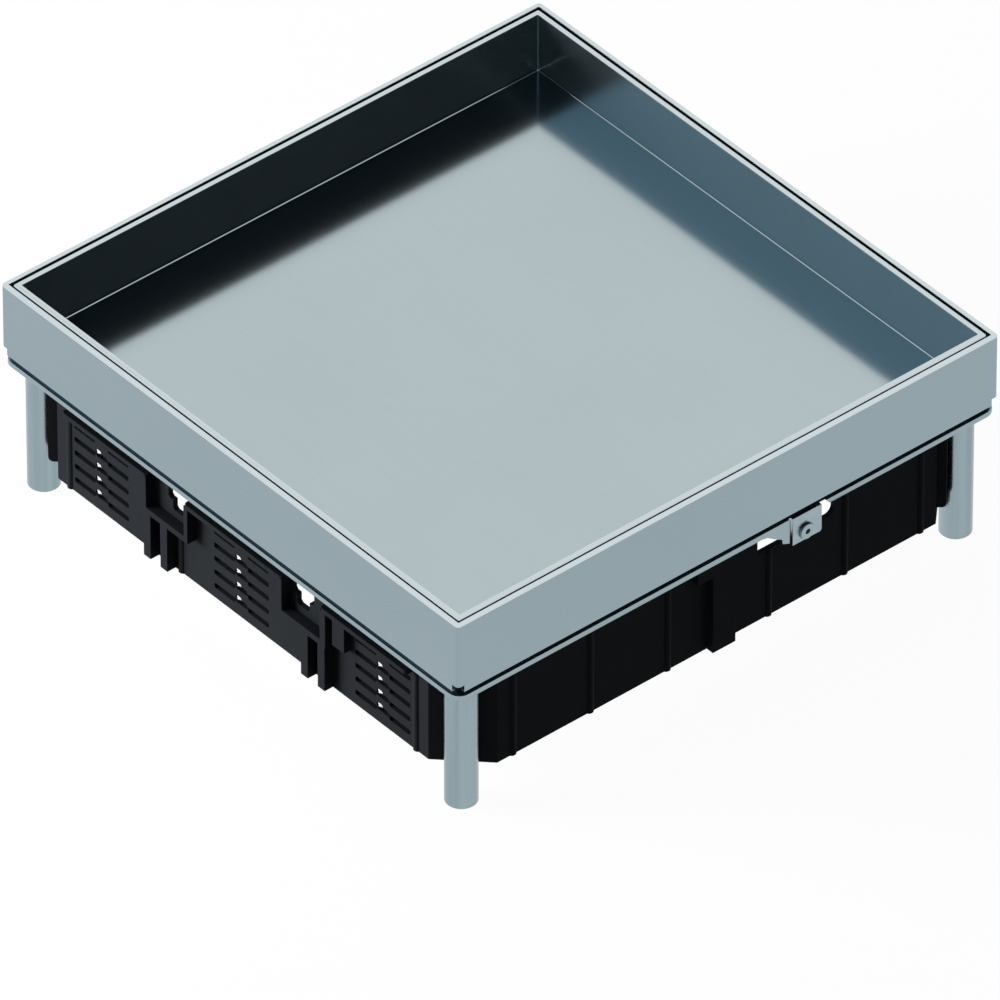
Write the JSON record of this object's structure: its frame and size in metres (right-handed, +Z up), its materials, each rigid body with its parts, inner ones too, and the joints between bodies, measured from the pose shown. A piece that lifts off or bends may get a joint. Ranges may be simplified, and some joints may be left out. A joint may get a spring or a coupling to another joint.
{
  "type": "floor box cover",
  "caption": "Square floor box cover: a steel frame with a recessed lift-out tray lid, on corner feet, with a vented moulded collar below.",
  "frame": {"origin": "on the floor under the centre of the square, at the height of the feet's lower ends", "axes": "+Z up out of the tray; -Y is the side with the earth tab, -X the side with the vents and cable pockets"},
  "size_m": [0.246, 0.246, 0.088],
  "materials": {
    "frame_steel": "satin stainless steel, folded sheet",
    "tray_steel": "satin stainless steel, folded sheet",
    "foot_steel": "turned steel",
    "plated_steel": "zinc-plated steel",
    "screw_steel": "zinc-plated steel",
    "seal_rubber": "matt black rubber",
    "black_moulding": "matt black moulded plastic"
  },
  "bodies": {
    "root": {"frame_wall": "frame_steel", "lid_tray": "tray_steel", "lid_seal": "seal_rubber", "ring_seal": "seal_rubber", "base_ring": "frame_steel", "insert_collar": "black_moulding", "earth_tab": "plated_steel", "earth_rivet": "plated_steel", "foot_column_1": "foot_steel", "foot_column_2": "foot_steel", "foot_column_3": "foot_steel", "foot_column_4": "foot_steel", "corner_screw_1": "screw_steel", "corner_screw_2": "screw_steel", "corner_screw_3": "screw_steel", "corner_screw_4": "screw_steel", "collar_screw_1": "screw_steel", "collar_screw_2": "screw_steel", "collar_screw_3": "screw_steel", "collar_screw_4": "screw_steel", "collar_screw_5": "screw_steel", "collar_screw_6": "screw_steel", "collar_screw_7": "screw_steel", "collar_screw_8": "screw_steel"}
  },
  "joints": []
}
